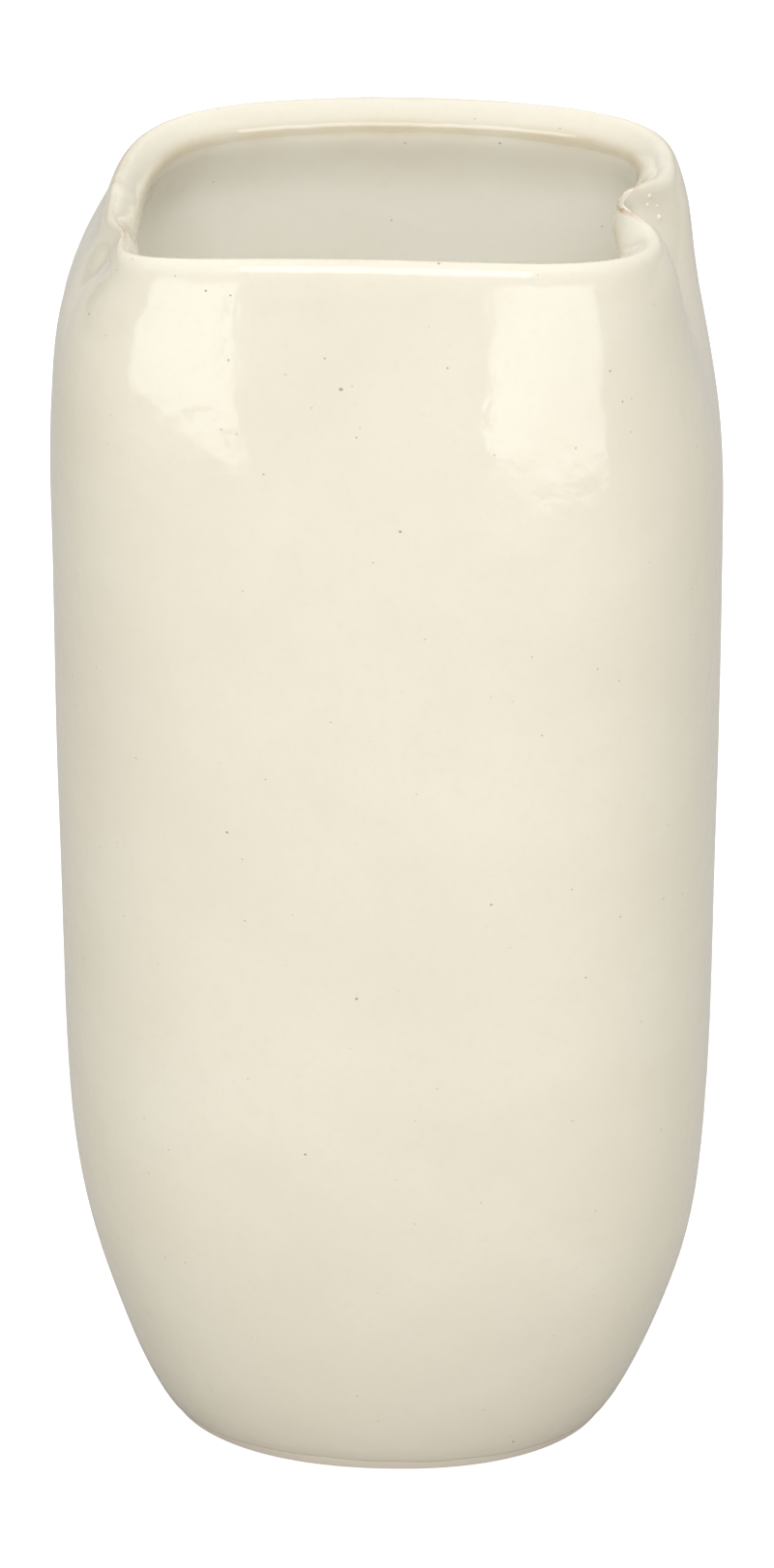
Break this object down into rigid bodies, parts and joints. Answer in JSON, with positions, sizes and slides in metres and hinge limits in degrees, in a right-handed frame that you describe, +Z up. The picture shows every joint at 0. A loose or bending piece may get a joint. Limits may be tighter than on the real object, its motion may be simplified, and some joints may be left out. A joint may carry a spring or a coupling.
{
  "type": "pillow vase",
  "caption": "Tall soft-cornered vase with a wide mouth pinched in at the sides, a thick rounded lip and glossy cream glaze, for cut flowers.",
  "frame": {"origin": "centre of the bounding box, on the surface that the foot stands on", "axes": "+Z up, +X to the right side with the deep pinch, -Y to the front face, +Y to the back face"},
  "size_m": [0.1701, 0.1426, 0.3434],
  "materials": {
    "front_clay": "buff stoneware clay, sponged",
    "back_clay": "buff stoneware clay, sponged",
    "floor_clay": "bare buff stoneware, wiped and sanded foot",
    "rim_clay": "buff stoneware clay, rounded with a wet chamois",
    "coil_clay": "buff stoneware clay",
    "outer_glaze": "glossy cream glaze, thin and warm brown on edges, fine dark specks",
    "liner_glaze": "glossy cream glaze, thin and warm brown on edges, fine dark specks"
  },
  "bodies": {
    "root": {"front_slab": "front_clay", "back_slab": "back_clay", "floor_slab": "floor_clay", "rim_strip": "rim_clay", "floor_coil": "coil_clay", "left_seam_coil": "coil_clay", "right_seam_coil": "coil_clay", "outer_glaze": "outer_glaze", "liner_glaze": "liner_glaze"}
  },
  "joints": []
}
